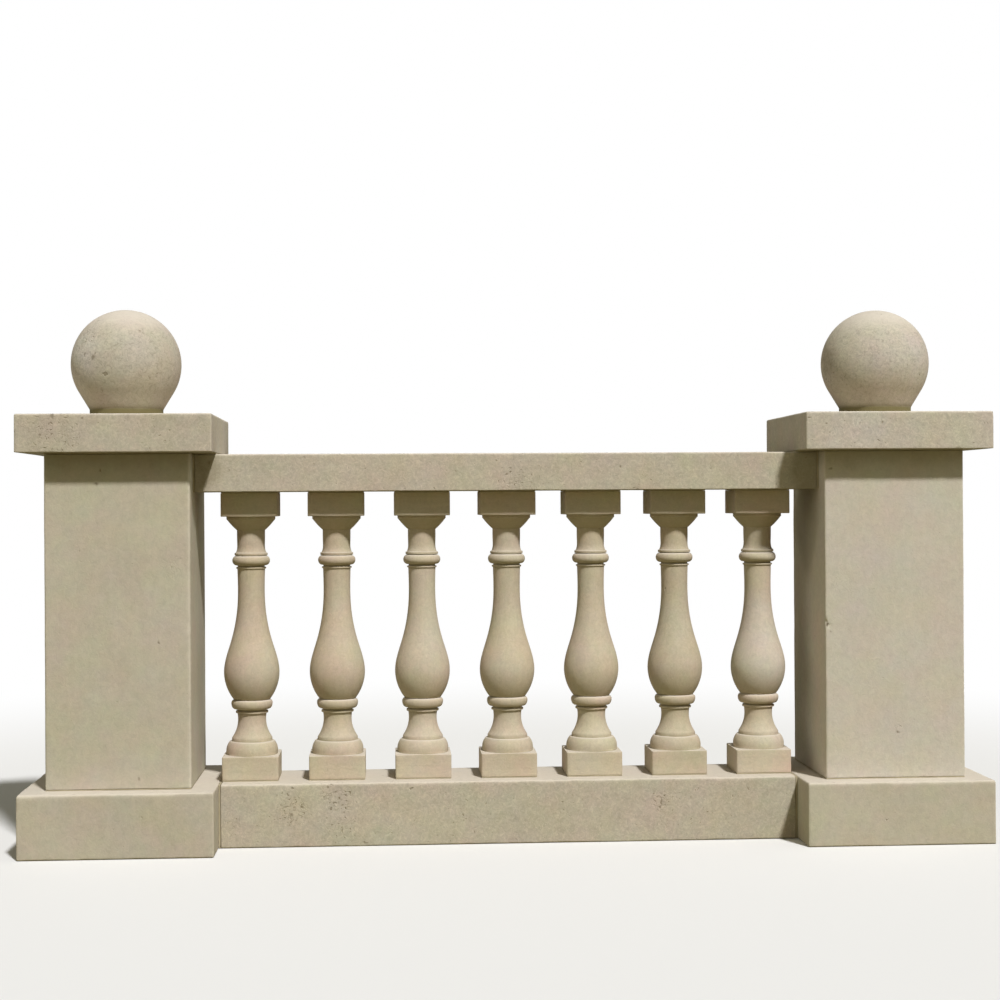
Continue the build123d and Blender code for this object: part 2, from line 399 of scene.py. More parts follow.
def limestone(name, look):
    # clouds of one body colour with a blush and chalk, shaded by mottling, speckles, grain, tool lines,
    # trails and the stone's tone, and swung a little in hue; over that worn edges paled partly as a painted
    # highlight, tops paled partly as painted top light, painted shade on undersides, grime and painted shade,
    # ragged pits, shell lines where it is pitted, and stains
    material = bpy.data.materials.new(name)
    bench = Bench(material)
    number = readMark(bench, "stoneNumber")
    shift = bench.add("CombineXYZ", None, {axis: number * far for axis, far in zip("XYZ", numberShift)})
    spot = bench.add("TexCoord", None, None, "Object")
    place = bench.add("VectorMath", {"operation": "ADD"}, {"Vector": spot, "Vector_001": shift})
    swaying = {"Vector": place, "Scale": patternScale["sway"], "Detail": 1.0}
    sway = bench.add("TexNoise", None, swaying, "Color")
    bent = bench.add("VectorMath", {"operation": "MULTIPLY_ADD"},
                     {"Vector": sway, "Vector_001": (swayReach,) * 3, "Vector_002": place})
    pitted = readMark(bench, "pitted")
    wornEdge = readMark(bench, "wornEdge")
    layered = readMark(bench, "layered")

    clouds = ramped(bench, noise(bench, place, patternScale["clouds"], 3.0), *levels["clouds"])
    blush = ramped(bench, noise(bench, bent, patternScale["blush"], 2.0), *levels["blush"])
    mottle = noise(bench, bent, patternScale["mottle"], 3.0, 0.6)
    speckle = noise(bench, bent, patternScale["speckle"], 2.0, 0.6)
    grain = noise(bench, place, look["grainScale"], 2.0, 0.6)

    def wandering(scale, width):
        # 1 along the level where a noise passes its middle, down to 0 at the width on both sides
        away = abs(noise(bench, bent, scale, 1.0) - 0.5)
        return 1 - ramped(bench, away, 0.0, width)

    trails = wandering(patternScale["trails"], look["trailWidth"])

    def lined(stretch):
        # noise with that many lumps a metre along x, y and z, so that it makes lines where one is small
        both = {"Vector": bent, "Vector_001": stretch}
        stretched = bench.add("VectorMath", {"operation": "MULTIPLY"}, both)
        return noise(bench, stretched, 1.0, 2.0, 0.6) - 0.5

    lines = lined(look["toolStretch"]) * (1 - layered) + lined(look["layerStretch"]) * layered

    rough = ramped(bench, pitted, *levels["mark"])
    finePits = noise(bench, bent, patternScale["finePits"], 1.0) + pitted * look["pitGain"]
    finePits = ramped(bench, finePits, *look["finePits"])
    widePits = ramped(bench, noise(bench, bent, patternScale["widePits"], 1.0), *look["widePits"])
    shells = wandering(patternScale["shells"], look["shellWidth"]) * rough

    colour = blended(bench, clouds, look["body"], look["cloud"])
    colour = blended(bench, blush * look["blushing"], colour, look["blush"])
    colour = blended(bench, readMark(bench, "chalk"), colour, look["chalk"])
    shade = (1 + (mottle - 0.5) * look["mottling"] + (speckle - 0.5) * look["speckling"]
             + (grain - 0.5) * look["graining"] + lines * look["tooling"] - (trails - 0.3) * look["trailing"]
             + readMark(bench, "stoneTone") * look["toning"])
    colour = bench.add("VectorMath", {"operation": "SCALE"}, {"Vector": colour, "Scale": shade})
    swung = {"Vector": bent, "Scale": patternScale["hues"], "Detail": 5.0, "Roughness": 0.62}
    hues = bench.add("TexNoise", None, swung, "Color")
    swing = look["hueSwing"]
    hues = bench.add("VectorMath", {"operation": "MULTIPLY_ADD"},
                     {"Vector": hues, "Vector_001": (swing,) * 3, "Vector_002": (1 - swing / 2,) * 3})
    colour = bench.add("VectorMath", {"operation": "MULTIPLY"}, {"Vector": colour, "Vector_001": hues})
    # worn edges paler: partly wear, partly a painted highlight along them
    wearAndHighlight = ramped(bench, wornEdge + (mottle - 0.5) * 0.9, *levels["worn"], look["edging"])
    colour = blended(bench, wearAndHighlight, colour, look["pale"])
    normal = bench.add("NewGeometry", None, None, "Normal")
    facing = bench.add("SeparateXYZ", None, {"Vector": normal}, "Z")      # 1 where it faces straight up
    # faces that look up paler: partly rain-washing, partly painted top light
    washedAndLit = ramped(bench, facing, *levels["facingUp"], look["washAndLight"]) * (0.8 + mottle * 0.4)
    colour = blended(bench, washedAndLit, colour, look["washedAndLit"])
    # faces that look down darker: painted shade
    underShade = ramped(bench, 0 - facing, *levels["facingDown"], look["underShading"])
    colour = blended(bench, underShade, colour, look["under"])
    # grime, and painted shade under caps, in creases, on a ball's foot and in patches on shaded faces
    grimeAndShade = ramped(bench, readMark(bench, "grimeAndShade"), *levels["mark"], look["grimeAndShading"])
    colour = blended(bench, grimeAndShade, colour, look["grimeAndShade"])
    dark = finePits * 0.5 + widePits * 0.55 + shells * 0.35
    colour = blended(bench, ramped(bench, dark, 0.0, 1.0), colour, look["pit"])
    stain = ramped(bench, readMark(bench, "stain") + (mottle - 0.5) * 0.6, *levels["mark"])
    colour = blended(bench, stain, colour, look["stain"])

    height = (grain * (look["grainDepth"] * mm) + mottle * (look["mottleDepth"] * mm)
              + speckle * (look["speckleDepth"] * mm) + lines * (look["toolDepth"] * mm)
              - finePits * (look["finePitDepth"] * mm) - widePits * (look["widePitDepth"] * mm)
              - shells * (look["shellDepth"] * mm))
    bump = bench.add("Bump", None, {"Strength": 1.0, "Distance": 1.0, "Height": height})
    polish = look["roughness"] + (mottle - 0.5) * 0.14 - wornEdge * 0.05
    surface = bench.add("BsdfPrincipled", None, {
        "Base Color": colour,
        "Roughness": polish,
        "Specular IOR Level": 0.3,
        "Normal": bump,
    })
    bench.add("OutputMaterial", None, {"Surface": surface})
    return material


pierLook = {
    "body": tint(188, 179, 161),
    "cloud": tint(182, 175, 156),
    "blush": tint(189, 177, 163),
    "blushing": 0.6,                           # most of the blush over the body colour
    "chalk": tint(203, 195, 186),
    "pale": tint(215, 206, 190),               # on worn edges, partly wear and partly a painted highlight
    "edging": 0.45,                            # most of it
    "washedAndLit": tint(212, 203, 190),             # on faces that look up, partly rain-washing and partly painted top light
    "washAndLight": 0.75,
    "under": tint(158, 148, 114),              # painted shade on faces that look down
    "underShading": 0.5,
    # colour of grime and of painted shade
    "grimeAndShade": tint(128, 118, 88),
    "grimeAndShading": 0.5,
    "pit": tint(118, 107, 82),
    "stain": tint(100, 88, 66),
    "grainScale": 420.0,                       # lumps to a metre
    "mottling": 0.26,                          # how far each pattern lightens and darkens the colour
    "speckling": 0.16,
    "graining": 0.14,
    "tooling": 0.08,
    "toning": 0.12,
    "trailing": 0.04,                          # dark trails, or pale ones where it is below 0
    "trailWidth": 0.06,                        # on their noise, as the next one
    "shellWidth": 0.05,
    "hueSwing": 0.20,                          # how far red, green and blue go their own ways
    "toolStretch": (120.0, 120.0, 14.0),       # upright lines
    "layerStretch": (9.0, 9.0, 230.0),         # level lines
    "toolDepth": 0.12,                         # millimetres, as every depth
    "grainDepth": 0.14,
    "speckleDepth": 0.25,
    "mottleDepth": 0.5,
    "finePitDepth": 0.5,
    "widePitDepth": 0.8,
    "shellDepth": 0.35,
    "finePits": (0.77, 0.86),                  # where on its noise a pit begins and is full
    "widePits": (0.79, 0.84),
    "pitGain": 0.14,                           # how much lower a fine pit begins where the stone is pitted
    "roughness": 0.86,
}
railLook = dict(
    pierLook,
    body=tint(188, 178, 160),
    cloud=tint(182, 174, 156),
    blush=tint(190, 177, 163),
    toolStretch=(12.0, 60.0, 60.0),
    mottling=0.32,
    speckling=0.42,
    trailing=-0.12,
    hueSwing=0.22,
    finePits=(0.715, 0.81),
    widePits=(0.76, 0.82),
)
balusterLook = dict(
    pierLook,
    body=tint(194, 180, 158),
    cloud=tint(189, 177, 154),
    blush=tint(196, 178, 160),
    pale=tint(217, 208, 190),
    mottling=0.20,
    speckling=0.20,
    tooling=0.20,
    trailing=0.04,
    hueSwing=0.26,
    edging=0.6,
    grimeAndShading=0.6,
    finePits=(0.78, 0.87),
    widePits=(0.81, 0.85),
    toolStretch=(210.0, 210.0, 7.0),
)
ballLook = dict(
    pierLook,
    body=tint(184, 174, 160),
    cloud=tint(178, 170, 153),
    blush=tint(190, 177, 167),
    # painted shade on faces that look down
    under=tint(170, 158, 128),
    # mostly painted shade on the ball's foot
    grimeAndShade=tint(116, 107, 72),
    grimeAndShading=1.0,
    graining=0.25,
    grainDepth=0.3,
    speckling=0.48,
    trailing=0.18,
    hueSwing=0.22,
    mottling=0.34,
    mottleDepth=0.8,
    finePits=(0.72, 0.82),
    widePits=(0.75, 0.81),
    toolStretch=(30.0, 70.0, 90.0),
    tooling=0.12,
)
pierStone = limestone("pierLimestone", pierLook)
railStone = limestone("railLimestone", railLook)
balusterStone = limestone("balusterLimestone", balusterLook)
ballStone = limestone("ballLimestone", ballLook)
print("limestone finishes mixed")


mortarLook = {
    "lean": tint(170, 159, 134),
    "rich": tint(186, 175, 149),
    "patchScale": 30.0,        # lumps to a metre
    "sandScale": 900.0,
    "sanding": 0.4,            # how far the sand lightens and darkens it
    "sandDepth": 0.5,          # millimetres
    "roughness": 0.92,
}


def limeMortar(look):
    # two mortar colours in soft patches, with sandy grains and a rubbed face
    material = bpy.data.materials.new("limeMortar")
    bench = Bench(material)
    place = bench.add("TexCoord", None, None, "Object")
    patchy = ramped(bench, noise(bench, place, look["patchScale"], 3.0), 0.3, 0.7)
    sand = noise(bench, place, look["sandScale"], 2.0, 0.7)
    colour = blended(bench, patchy, look["lean"], look["rich"])
    shade = 1 - look["sanding"] / 2 + sand * look["sanding"]
    colour = bench.add("VectorMath", {"operation": "SCALE"}, {"Vector": colour, "Scale": shade})
    height = sand * (look["sandDepth"] * mm)
    bump = bench.add("Bump", None, {"Strength": 1.0, "Distance": 1.0, "Height": height})
    surface = bench.add("BsdfPrincipled", None, {
        "Base Color": colour,
        "Roughness": look["roughness"] + (sand - 0.5) * 0.1,
        "Specular IOR Level": 0.2,
        "Normal": bump,
    })
    bench.add("OutputMaterial", None, {"Surface": surface})
    return material


# Squared stones

dressing = {                       # what every squared stone starts from; lengths in millimetres
    "step": (4.2, 6.4, 4.3),       # mesh spacing along x, y and z
    "unevenWear": 0.45,            # how much an edge's radius comes and goes, as a share
    "hollow": 0.5,                 # depth of the dressing's hollows
    "broken": 0.5,                 # depth of the broken surface, where it is fully pitted
    "chips": 14,
    "chipRadius": (6, 16),         # least and most
    "chipBite": (0.45, 0.8),       # in the edge's own radii, of which its rounding already takes 0.41
    "pitting": 0.25,               # most of the scattered pitting
    "bedDarkening": 0.6,               # most of the darkening near a bed
    "bedDarkFull": 0,                # millimetres from a bed where the darkening is still full
    "bedDarkRise": 6,                # and how fast it fades beyond them
    "bedDarkBreaks": 1.0,            # how uneven it is
    "openTop": 1,                  # metres from its top to the next bed: 1, out of reach, where it is open
    "layers": 0.0,                 # how far its tool lines give way to level ones
    "chalk": 0.0,                  # how far its colour goes towards the chalky one
}


def squaredStone(node, material, changes):
    # a block with worn edges in its node's box, weathered
    stone = dict(dressing, **changes)
    low, high = (np.array(end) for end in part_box(node))
    points, quads, normal, edge = dressedBlock(low, high, stone)
    points, marks = weathered(points, normal, edge, low, high, stone)
    noFans = np.zeros((0, 3), int)
    makePiece(node + "_stone", [node], points, quads, noFans, marks, material)
    print(node, "dressed:", 2 * len(quads), "triangles")


tightEdge = 0.9           # radii of edges in millimetres
sharpEdge = 1.5
sunkEdge = 3.0
openEdge = 4.2
softEdge = 7.0

# a stone's ease is the radii at its low and its high side along x, then along y, then along z
plinthEase = ((openEdge, openEdge), (openEdge, openEdge), (sunkEdge, softEdge))
shaftEase = ((openEdge, openEdge), (openEdge, openEdge), (tightEdge, tightEdge))
capEase = ((openEdge, openEdge), (openEdge, openEdge), (sharpEdge, 5.0))

leftPlinth = {"seed": 101, "tone": -0.2, "ease": plinthEase, "unevenWear": 0.6}
rightPlinth = {"seed": 102, "tone": 0.05, "ease": plinthEase}
leftShaft = {
    "seed": 103,
    "tone": 0.05,
    "ease": ((openEdge, 8.5), (8.0, openEdge), (tightEdge, tightEdge)),    # worn most at its right front edge
    "openTop": 0,
    # painted shade under the cap
    "capShade": 0.7,
    "stains": ((-0.857, -0.150, 0.767, 0.006, 0.7), (-0.850, -0.150, 0.795, 0.004, 0.6),
               (-0.732, -0.150, 0.439, 0.004, 0.7), (-0.774, -0.150, 0.157, 0.005, 0.5)),
    "pitted": ((-0.70, -0.150, 0.60, 0.05, 0.5),),
}
rightShaft = {
    "seed": 104,
    "tone": 0.35,
    "chalk": 0.4,
    "ease": shaftEase,
    "openTop": 0,
    # painted shade under the cap
    "capShade": 0.7,
    "hollow": 0.8,
    "knocks": ((0.659, -0.157, 0.467, 0.0145), (0.674, -0.155, 0.459, 0.0075),
               (0.662, -0.155, 0.449, 0.0085)),
    "stains": ((0.671, -0.150, 0.462, 0.0055, 0.8), (0.679, -0.150, 0.447, 0.004, 0.6),
               (0.821, -0.150, 0.232, 0.005, 0.7), (0.815, -0.150, 0.272, 0.003, 0.6)),
    "pitted": ((0.819, -0.150, 0.245, 0.03, 0.6), (0.70, -0.150, 0.55, 0.05, 0.4)),
    # painted shade on its shaded left side
    "grimeAndShadePatches": ((0.666, 0.02, 0.69, 0.17, 0.8),),
}
leftCap = {
    "seed": 105,
    "tone": -0.15,
    "ease": capEase,
    "pitted": ((-0.938, -0.200, 0.872, 0.10, 0.6), (-0.885, -0.200, 0.885, 0.05, 0.4)),
    "grimeAndShadePatches": ((-0.955, -0.200, 0.86, 0.09, 0.32),),
    "stains": ((-0.963, -0.200, 0.867, 0.005, 0.7), (-0.938, -0.200, 0.907, 0.008, 0.5),
               (-0.920, -0.200, 0.909, 0.007, 0.4)),
}
rightCap = {
    "seed": 106,
    "tone": 0.0,
    "chalk": 0.2,
    "ease": capEase,
    "chalked": ((0.72, -0.200, 0.87, 0.11, 0.4),),
    # painted shade on its shaded left side
    "grimeAndShadePatches": ((0.616, 0.0, 0.87, 0.20, 0.6),),
    "pitted": ((0.70, -0.200, 0.87, 0.08, 0.4), (0.79, -0.200, 0.87, 0.06, 0.3)),
}
topRail = {
    "seed": 107,
    "tone": 0.1,
    "ease": ((tightEdge, tightEdge), (openEdge, openEdge), (sharpEdge, openEdge)),
    "pitting": 0.75,
    "stains": ((-0.630, -0.100, 0.811, 0.005, 0.6), (-0.589, -0.100, 0.794, 0.004, 0.6),
               (-0.586, -0.100, 0.813, 0.004, 0.4), (-0.540, -0.100, 0.766, 0.003, 0.5),
               (-0.411, -0.100, 0.810, 0.003, 0.5), (-0.196, -0.100, 0.766, 0.003, 0.5),
               (-0.112, -0.100, 0.791, 0.004, 0.6)),
    # painted shadow of the caps on both rail ends
    "grimeAndShadePatches": ((-0.66, -0.10, 0.79, 0.08, 0.8), (0.66, -0.10, 0.79, 0.09, 0.9)),
}
bottomRail = {
    "seed": 108,
    "tone": 0.0,
    "ease": ((2.0, 2.0), (openEdge, openEdge), (sunkEdge, 6.0)),
    "pitting": 0.6,
    "pitted": ((-0.464, -0.100, 0.080, 0.05, 0.9), (-0.366, -0.100, 0.098, 0.05, 0.8),
               (0.319, -0.100, 0.087, 0.04, 0.8), (-0.12, -0.100, 0.09, 0.05, 0.5)),
    "stains": ((-0.464, -0.100, 0.070, 0.006, 0.6),),
}

squaredStone("left_plinth", pierStone, leftPlinth)
squaredStone("right_plinth", pierStone, rightPlinth)
squaredStone("left_shaft", pierStone, leftShaft)
squaredStone("right_shaft", pierStone, rightShaft)
squaredStone("left_cap", railStone, leftCap)
squaredStone("right_cap", railStone, rightCap)
squaredStone("top_rail", railStone, topRail)
squaredStone("bottom_rail", railStone, bottomRail)


# Turned stones: an outline of (half width, height, squareness) carried round

curvePoints = 25           # along each curve of an outline
beadPoints = 33
circlePoints = 400


def bowed(start, stop, stand):
    # the straight line between two points, plus 4t(1 - t) times how far its middle stands out to the right
    t = np.linspace(0, 1, curvePoints)[:, None]
    start, stop = np.array(start, float), np.array(stop, float)
    chord = stop - start
    right = np.array([chord[1], -chord[0]]) / np.linalg.norm(chord)
    return start + t * chord + 4 * t * (1 - t) * stand * right


def bead(radius, height, stand, widest):
    # half an ellipse below the widest level and half of another above it, both standing out as far
    turn = np.linspace(-math.pi / 2, math.pi / 2, beadPoints)
    lower, upper = widest * height, (1 - widest) * height
    level = lower + np.where(turn < 0, lower, upper) * np.sin(turn)
    return np.stack([radius - stand + stand * np.cos(turn), level], axis=1)


def sweptThrough(knots, startLean, stopLean):
    # the cubic curve through some points that bends least, with its direction given at both ends
    knots = np.array(knots, float)
    gaps = np.linalg.norm(np.diff(knots, axis=0), axis=1)
    count = len(knots)
    system = np.eye(count)
    wanted = np.zeros((count, 2))
    wanted[0] = startLean
    wanted[-1] = stopLean
    for row in range(1, count - 1):
        before, after = gaps[row - 1], gaps[row]
        system[row, row - 1:row + 2] = after, 2 * (before + after), before
        wanted[row] = 3 * (after / before * (knots[row] - knots[row - 1])
                           + before / after * (knots[row + 1] - knots[row]))
    leans = np.linalg.solve(system, wanted)
    t = np.linspace(0, 1, curvePoints)[:, None]
    pieces = [
        (2 * t ** 3 - 3 * t ** 2 + 1) * knots[i] + (t ** 3 - 2 * t ** 2 + t) * gaps[i] * leans[i]
        + (3 * t ** 2 - 2 * t ** 3) * knots[i + 1] + (t ** 3 - t ** 2) * gaps[i] * leans[i + 1]
        for i in range(count - 1)
    ]
    return np.concatenate(pieces)


def withSquareness(outline, squareness):
    # the outline with a third column, 0 where it is round and 1 where it is square
    return np.column_stack([outline, np.full(len(outline), float(squareness))])


balusterShape = {                    # millimetres
    "halfBlock": 60.0,
    "blockHeight": 50.0,
    "foot": (54.8, 47.5, 28.5, 3.6),             # lower and upper radius, height, how far it stands out
    "footFillet": (43.5, 6.5),                   # radius and height, as for every fillet and groove
    "scotia": (31.5, 53.0, -5.8),                # upper radius, height, and how far it is cut in
    "waistFillet": (35.0, 5.0),
    "waistGroove": (32.0, 3.5),
    "waistBead": (44.6, 21.0, 7.5, 0.62),        # radius, height, how far it swells, where it is widest
    "body": ((39.5, 0.0), (59.7, 56.5), (44.5, 124.5), (30.0, 202.75), (29.8, 281.0)),    # radius, height
    "bodyLeans": ((0.62, 0.78), (0.03, 1.0)),    # the way it starts out and the way it arrives
    "bodyFillet": (32.2, 4.0),
    "collarGroove": (29.0, 3.0),
    "collarBead": (40.5, 21.5, 9.5, 0.5),
    "collarFillet": (35.5, 6.0),
    "neck": ((33.0, 0.0), (30.0, 24.5), (30.2, 49.0)),
    "neckLeans": ((-0.5, 0.87), (0.0, 1.0)),
    "echinus": (31.0, 51.5, 22.5, 0.8),          # as the foot
    "headFillet": (52.5, 6.5),
    "corner": 3.2,                               # radius of the block's upright edges
}


def balusterOutline(shape, height):
    # the mouldings one on top of another, from the middle of the underside to the middle of the head
    half = shape["halfBlock"]
    level = shape["blockHeight"]
    parts = [withSquareness([(0, 0), (half, 0), (half, level)], 1)]

    def stack(outline, rise):
        # a round outline set on the last level, which it lifts by its rise
        nonlocal level
        parts.append(withSquareness(np.array(outline) + (0, level), 0))
        level += rise

    def band(name):
        # an upright band of one radius
        radius, rise = shape[name]
        stack([(radius, 0), (radius, rise)], rise)

    footLow, footHigh, footRise, footStand = shape["foot"]
    stack(bowed((footLow, 0), (footHigh, footRise), footStand), footRise)
    band("footFillet")
    scotiaHigh, scotiaRise, scotiaStand = shape["scotia"]
    stack(bowed((shape["footFillet"][0], 0), (scotiaHigh, scotiaRise), scotiaStand), scotiaRise)
    band("waistFillet")
    band("waistGroove")
    stack(bead(*shape["waistBead"]), shape["waistBead"][1])
    stack(sweptThrough(shape["body"], *shape["bodyLeans"]), shape["body"][-1][1])
    band("bodyFillet")
    band("collarGroove")
    stack(bead(*shape["collarBead"]), shape["collarBead"][1])
    band("collarFillet")
    stack(sweptThrough(shape["neck"], *shape["neckLeans"]), shape["neck"][-1][1])
    echinusLow, echinusHigh, echinusRise, echinusStand = shape["echinus"]
    stack(bowed((echinusLow, 0), (echinusHigh, echinusRise), echinusStand), echinusRise)
    band("headFillet")
    parts.append(withSquareness([(half, level), (half, height), (0, height)], 1))
    return np.concatenate(parts) * (mm, mm, 1)


fineStep = 0.25 * mm       # spacing of the outline while it is being worn
creaseWidth = 17           # such steps over which a crease gathers grime and painted shade
bellEnds = 4               # how many times its own width the bell curve is carried on each way
cornerGain = 0.41          # how much farther a square reaches than a circle, as a share of its half width


def wornOutline(outline, wear, step, turnPerRing):
    # the outline evened out, averaged by a bell curve along its length, and cut into rings, which are closer
    # together where it turns; also how sharply each ring turns outwards, in radians a millimetre, and how
    # deep in a crease it lies
    reach = outline * (1, 1, cornerGain * outline[:, 0].max())
    along = np.concatenate([[0], np.cumsum(np.linalg.norm(np.diff(reach, axis=0), axis=1))])
    along, kept = np.unique(along, return_index=True)
    even = np.arange(0, along[-1], fineStep)
    fine = np.column_stack([np.interp(even, along, outline[kept, part]) for part in range(3)])
    width = round(bellEnds * wear / fineStep)
    bell = np.exp(-0.5 * (np.arange(-width, width + 1) * fineStep / wear) ** 2)
    bell /= bell.sum()
    padded = np.pad(fine, ((width, width), (0, 0)), mode="edge")
    worn = np.column_stack([np.convolve(padded[:, part], bell, mode="valid") for part in range(3)])
    heading = np.unwrap(np.arctan2(np.gradient(worn[:, 1]), np.gradient(worn[:, 0])))
    bend = np.gradient(heading) / (fineStep / mm)
    creased = np.convolve(np.clip(-bend, 0, None), bell, mode="same")
    creased = np.convolve(creased, np.ones(creaseWidth) / creaseWidth, mode="same")
    density = fineStep / step + np.abs(np.gradient(heading)) / turnPerRing
    ringed = np.cumsum(density)
    wanted = np.linspace(ringed[0], ringed[-1], round(ringed[-1] - ringed[0]) + 1)[1:-1]
    rings = np.column_stack([np.interp(wanted, ringed, worn[:, part]) for part in range(3)])
    return rings, np.interp(wanted, ringed, bend), np.interp(wanted, ringed, creased)


def squareReach(angles, half, corner):
    # how far a square with rounded corners reaches from its middle in each direction
    fold = np.abs((angles + math.pi / 4) % (math.pi / 2) - math.pi / 4)
    inner = half - corner
    across = inner * (np.cos(fold) + np.sin(fold))
    rounded = across + np.sqrt(np.clip(across ** 2 - 2 * inner ** 2 + corner ** 2, 0, None))
    return np.where(np.tan(fold) * half > inner, rounded, half / np.cos(fold))


def turnedSurface(rings, angles, corner):
    # each ring is a circle or a square of its half width, or a blend of both, and two poles close the ends
    half, height, squareness = (rings[:, part, None] for part in range(3))
    square = squareReach(angles[None, :], half, np.minimum(corner, half * 0.5))
    radius = squareness * square + (1 - squareness) * half
    grid = np.stack([radius * np.cos(angles), radius * np.sin(angles), height + 0 * radius], axis=-1)
    around = np.roll(grid, -1, axis=1) - np.roll(grid, 1, axis=1)
    normal = np.cross(around, np.gradient(grid, axis=0))
    normal /= np.linalg.norm(normal, axis=-1, keepdims=True)
    poles = np.array([[0, 0, grid[0, 0, 2]], [0, 0, grid[-1, 0, 2]]])
    points = np.concatenate([grid.reshape(-1, 3), poles])
    normals = np.concatenate([normal.reshape(-1, 3), [[0, 0, -1], [0, 0, 1]]])
    count = len(angles)
    number = np.arange(len(rings) * count).reshape(len(rings), count)
    onward = np.roll(number, -1, axis=1)
    quads = np.stack([number[:-1], onward[:-1], onward[1:], number[1:]], axis=-1).reshape(-1, 4)
    foot = np.stack([np.full(count, number.size), onward[0], number[0]], axis=-1)
    head = np.stack([np.full(count, number.size + 1), number[-1], onward[-1]], axis=-1)
    return points, normals, quads, np.concatenate([foot, head])


def overRings(values, count):
    # a value for each ring, given to all its points and to the two poles
    return np.concatenate([np.repeat(values, count), [0, 0]])


turning = {                       # what every turned stone starts from, told as the dressing is
    "ease": ((3.2, 3.2), (3.2, 3.2), (tightEdge, tightEdge)),
    "hollow": 0.45,
    "broken": 0.3,
    "chips": 5,
    "chipRadius": (5, 11),
    "chipBite": (0.5, 0.9),
    "pitting": 0.2,
    "bedDarkening": 0.4,
    "bedDarkFull": 0,
    "bedDarkRise": 6,
    "bedDarkBreaks": 1.0,
    "openTop": 0,
    "layers": 0.0,
    "chalk": 0.0,
    "wear": 0.8,                  # how far the worn mouldings are averaged, in millimetres
    "step": 6.0,                  # most between two rings
    "turnPerRing": 0.38,          # radians of the outline's turn to each ring
    "edgeGain": 1.2,              # how worn an edge is, to each radian a millimetre that it turns
    "creaseGain": 2.4,            # how dark a crease is with grime and painted shade, likewise how uneven that is
    "creaseBreaks": 0.3,          # how uneven its grime is
}


def turnedStone(node, material, outline, angles, corner, changes):
    # the worn outline carried round in the middle of its node's box, weathered, with level tool lines where
    # it is square and more grime and painted shade in the creases of its outline
    stone = dict(turning, **changes)
    low, high = (np.array(end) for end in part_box(node))
    rings, turn, creased = wornOutline(outline, stone["wear"] * mm, stone["step"] * mm, stone["turnPerRing"])
    points, normal, quads, fans = turnedSurface(rings, angles, corner * mm)
    points = points + ((low[0] + high[0]) / 2, (low[1] + high[1]) / 2, low[2])
    edge = overRings(np.clip(turn * stone["edgeGain"], 0, 1), len(angles))
    points, marks = weathered(points, normal, edge, low, high, stone)
    marks["layered"] = overRings(rings[:, 2], len(angles))
    uneven = stone["creaseBreaks"]
    breaks = 1 - uneven + uneven * lumps(points, lumpSize["creases"], stone["seed"] + 47)
    # darker in the creases: grime and painted shade
    inCreases = overRings(np.clip(creased * stone["creaseGain"], 0, 1), len(angles))
    marks["grimeAndShade"] = np.maximum(marks["grimeAndShade"], inCreases * breaks)
    makePiece(node + "_stone", [node], points, quads, fans, marks, material)
    print(node, "turned:", 2 * len(quads) + len(fans), "triangles")


balusterTones = (-0.05, 0.0, 0.05, 0.05, 0.05, -0.35, 0.15)
balusterChalk = (0.0, 0.0, 0.1, 0.0, 0.0, 0.0, 0.1)
balusterPatches = {
    3: {"stains": ((-0.158, -0.05, 0.408, 0.006, 0.4),)},
    7: {"chalked": ((0.553, -0.04, 0.42, 0.17, 0.45),),
        "stains": ((0.541, -0.05, 0.430, 0.007, 0.7), (0.556, -0.056, 0.211, 0.007, 0.6))},
}
eighth = np.radians(np.append(np.linspace(0, 40, 9), 43.4))      # closer together towards a block's corner
quarter = np.concatenate([eighth, [math.pi / 4], math.pi / 2 - eighth[:0:-1]])
balusterAngles = np.concatenate([quarter + turn * math.pi / 2 for turn in range(4)])

for number, (tone, chalk) in enumerate(zip(balusterTones, balusterChalk), start=1):
    node = f"baluster_{number}"
    footLevel, headLevel = (end.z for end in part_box(node))
    outline = balusterOutline(balusterShape, (headLevel - footLevel) / mm)
    changes = dict(balusterPatches.get(number, {}), seed=200 + number, tone=tone, chalk=chalk)
    turnedStone(node, balusterStone, outline, balusterAngles, balusterShape["corner"], changes)

ballTurning = {
    # its darkening near the bed is painted shade over the ball's foot
    "bedDarkening": 1.0,
    "bedDarkFull": 12,
    "bedDarkRise": 9,
    "bedDarkBreaks": 0.2,
    "openTop": 1,
    "hollow": 0.5,
    "broken": 0.7,
    "chips": 0,
    "pitting": 0.9,
    "wear": 1.0,
    "step": 3.4,
    "turnPerRing": 0.12,
}
ballFoot = 78                # radius of the short foot under a ball, in millimetres
ballFlank = 31               # degrees below its middle where the ball runs on as a straight flank
ballSides = 176
ballAngles = np.linspace(0, 2 * math.pi, ballSides, endpoint=False)
# a paler patch over the left ball's left side: painted light
ballSideLight = {"left": ((-0.916, -0.06, 1.02, 0.09, 0.7),), "right": ()}
ballStains = {
    "left": ((-0.872, -0.105, 1.033, 0.010, 0.55), (-0.864, -0.109, 1.010, 0.006, 0.4)),
    "right": ((0.776, -0.113, 1.020, 0.008, 0.5), (0.700, -0.030, 1.030, 0.055, 0.35)),
}


def ballOutline(radius, middle, foot, flank):
    # a flat seat, an upright foot, the circle's tangent at the flank's angle, and the circle from there to
    # the top; the tangent line rises by its run outwards over the tangent of that angle
    turn = np.linspace(-flank, math.pi / 2, circlePoints)
    circle = np.stack([radius * np.cos(turn), middle + radius * np.sin(turn)], axis=1)
    rise = (circle[0, 0] - foot) / math.tan(flank)
    return withSquareness(np.concatenate([[(0, 0), (foot, 0), (foot, circle[0, 1] - rise)], circle]), 0)


